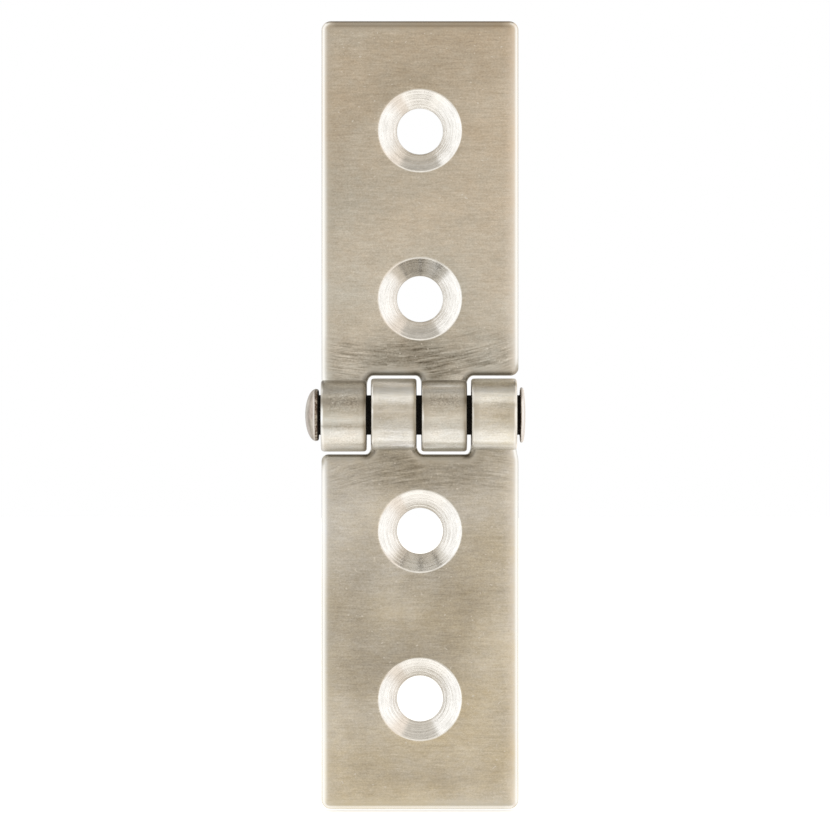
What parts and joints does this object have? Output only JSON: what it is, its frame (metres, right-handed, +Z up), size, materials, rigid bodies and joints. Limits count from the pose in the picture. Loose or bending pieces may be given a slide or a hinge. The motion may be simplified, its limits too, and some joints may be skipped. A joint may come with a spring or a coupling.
{
  "type": "door hinge",
  "caption": "Sheet-metal butt hinge with rolled knuckles on a loose riveted pin and countersunk screw holes in its leaves.",
  "frame": {"origin": "on the mounting plane (the leaves' back faces, hinge open flat), midway between the frame leaf's two screw holes; the pin's axis is 30.5 mm below it and 5.56 mm in front of it", "axes": "+X along the pin, from its formed round head to its hammered head; +Z up the open hinge, from the door leaf to the frame leaf; -Y out of the countersunk faces, towards whoever drives the screws"},
  "size_m": [0.0333, 0.0111, 0.12],
  "materials": {
    "leaf_steel": "brushed across the leaf, edges tumbled",
    "pin_steel": "smooth, faintly stained, hammered over at one end"
  },
  "bodies": {
    "frame_leaf": {"frame_leaf": "leaf_steel"},
    "door_leaf": {"door_leaf": "leaf_steel"},
    "hinge_pin": {"hinge_pin": "pin_steel"}
  },
  "joints": [
    {"name": "leaf_fold", "type": "hinge", "parent": "frame_leaf", "child": "door_leaf", "pos_m": [0, -0.00556, -0.0305], "axis": [-1, 0, 0], "range_deg": [-92, 185.5]},
    {"name": "pin_spin", "type": "hinge", "parent": "frame_leaf", "child": "hinge_pin", "pos_m": [0, -0.00556, -0.0305], "axis": [1, 0, 0], "continuous": true}
  ]
}
